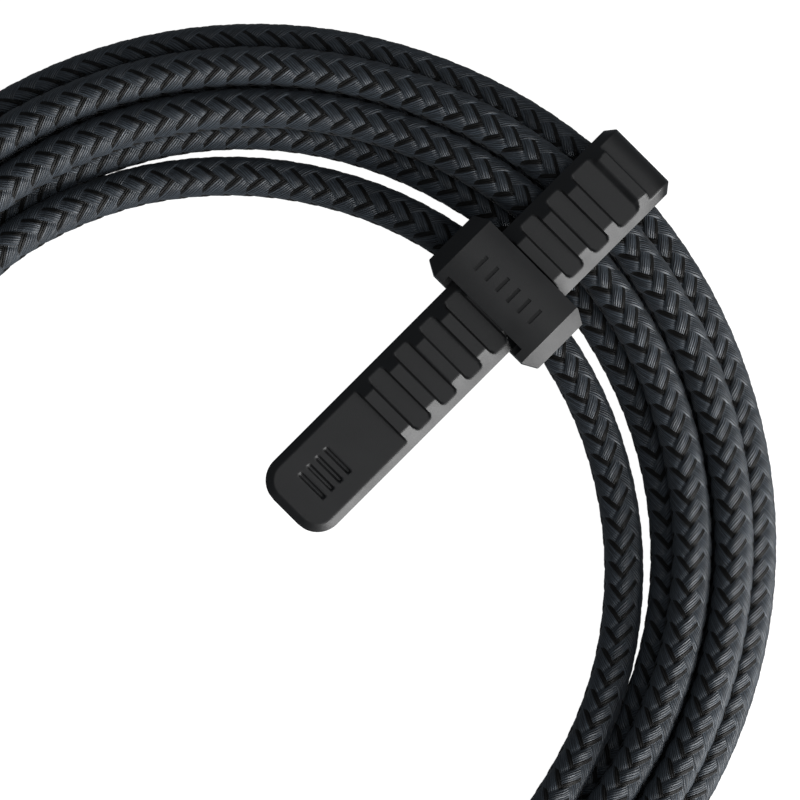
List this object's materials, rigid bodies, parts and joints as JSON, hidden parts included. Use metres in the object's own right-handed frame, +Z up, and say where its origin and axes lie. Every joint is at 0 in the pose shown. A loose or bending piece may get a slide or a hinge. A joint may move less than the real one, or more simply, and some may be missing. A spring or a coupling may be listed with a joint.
{
  "type": "charging cable",
  "caption": "Braided charging cable with a slim reversible plug at each end, wound into a flat coil and held by a ridged rubber strap that runs through a keeper.",
  "frame": {"origin": "centre of the coil on the surface it lies on", "axes": "+Z up along the coil's axis; the tie lies at 45 degrees between +X and +Y; plug A's nose points to -X and plug B's to -Y"},
  "size_m": [0.1316, 0.1316, 0.0154],
  "materials": {
    "braid": "braided",
    "tie_rubber": "matte",
    "shell_steel": "satin",
    "insulator_plastic": "matte",
    "contact_gold": "polished",
    "board_green": "satin",
    "chip_black": "matte",
    "wire_copper": "satin",
    "can_metal": "satin",
    "housing_black": "satin",
    "relief_rubber": "matte"
  },
  "bodies": {
    "root": {"cable_coil": "braid", "cable_inner_turn": "braid", "cable_lead_a": "braid", "tie_keeper": "tie_rubber", "plug_a_shell": "shell_steel", "plug_a_insulator": "insulator_plastic", "plug_a_contacts": "contact_gold", "plug_a_latches": "shell_steel", "plug_a_board": "board_green", "plug_a_chip": "chip_black", "plug_a_wires": "wire_copper", "plug_a_shield_can": "can_metal", "plug_a_ferrule": "can_metal", "plug_a_housing": "housing_black", "plug_a_strain_relief": "relief_rubber", "plug_b_shell": "shell_steel", "plug_b_insulator": "insulator_plastic", "plug_b_contacts": "contact_gold", "plug_b_latches": "shell_steel", "plug_b_board": "board_green", "plug_b_chip": "chip_black", "plug_b_wires": "wire_copper", "plug_b_shield_can": "can_metal", "plug_b_ferrule": "can_metal", "plug_b_housing": "housing_black", "plug_b_strain_relief": "relief_rubber"},
    "strap_loop": {"tie_strap_fold": "tie_rubber"},
    "strap_feed": {"tie_strap_run": "tie_rubber"},
    "strap_tail": {"tie_strap_tail": "tie_rubber"}
  },
  "joints": [
    {"name": "loop_slide", "type": "slide", "parent": "root", "child": "strap_loop", "axis": [0.7071, 0.7071, 0], "range_m": [0, 0.00226]},
    {"name": "feed_slide", "type": "slide", "parent": "strap_loop", "child": "strap_feed", "axis": [0.7071, 0.7071, 0], "range_m": [0, 0.00226]},
    {"name": "tail_bend", "type": "hinge", "parent": "strap_feed", "child": "strap_tail", "pos_m": [0.01838, 0.01838, 0.01159], "axis": [-0.7071, 0.7071, 0], "range_deg": [-15, 70], "stiffness_Nm_per_rad": 0.01}
  ],
  "couplings": [
    {"joint": "feed_slide", "follows": "loop_slide", "ratio": 1}
  ]
}
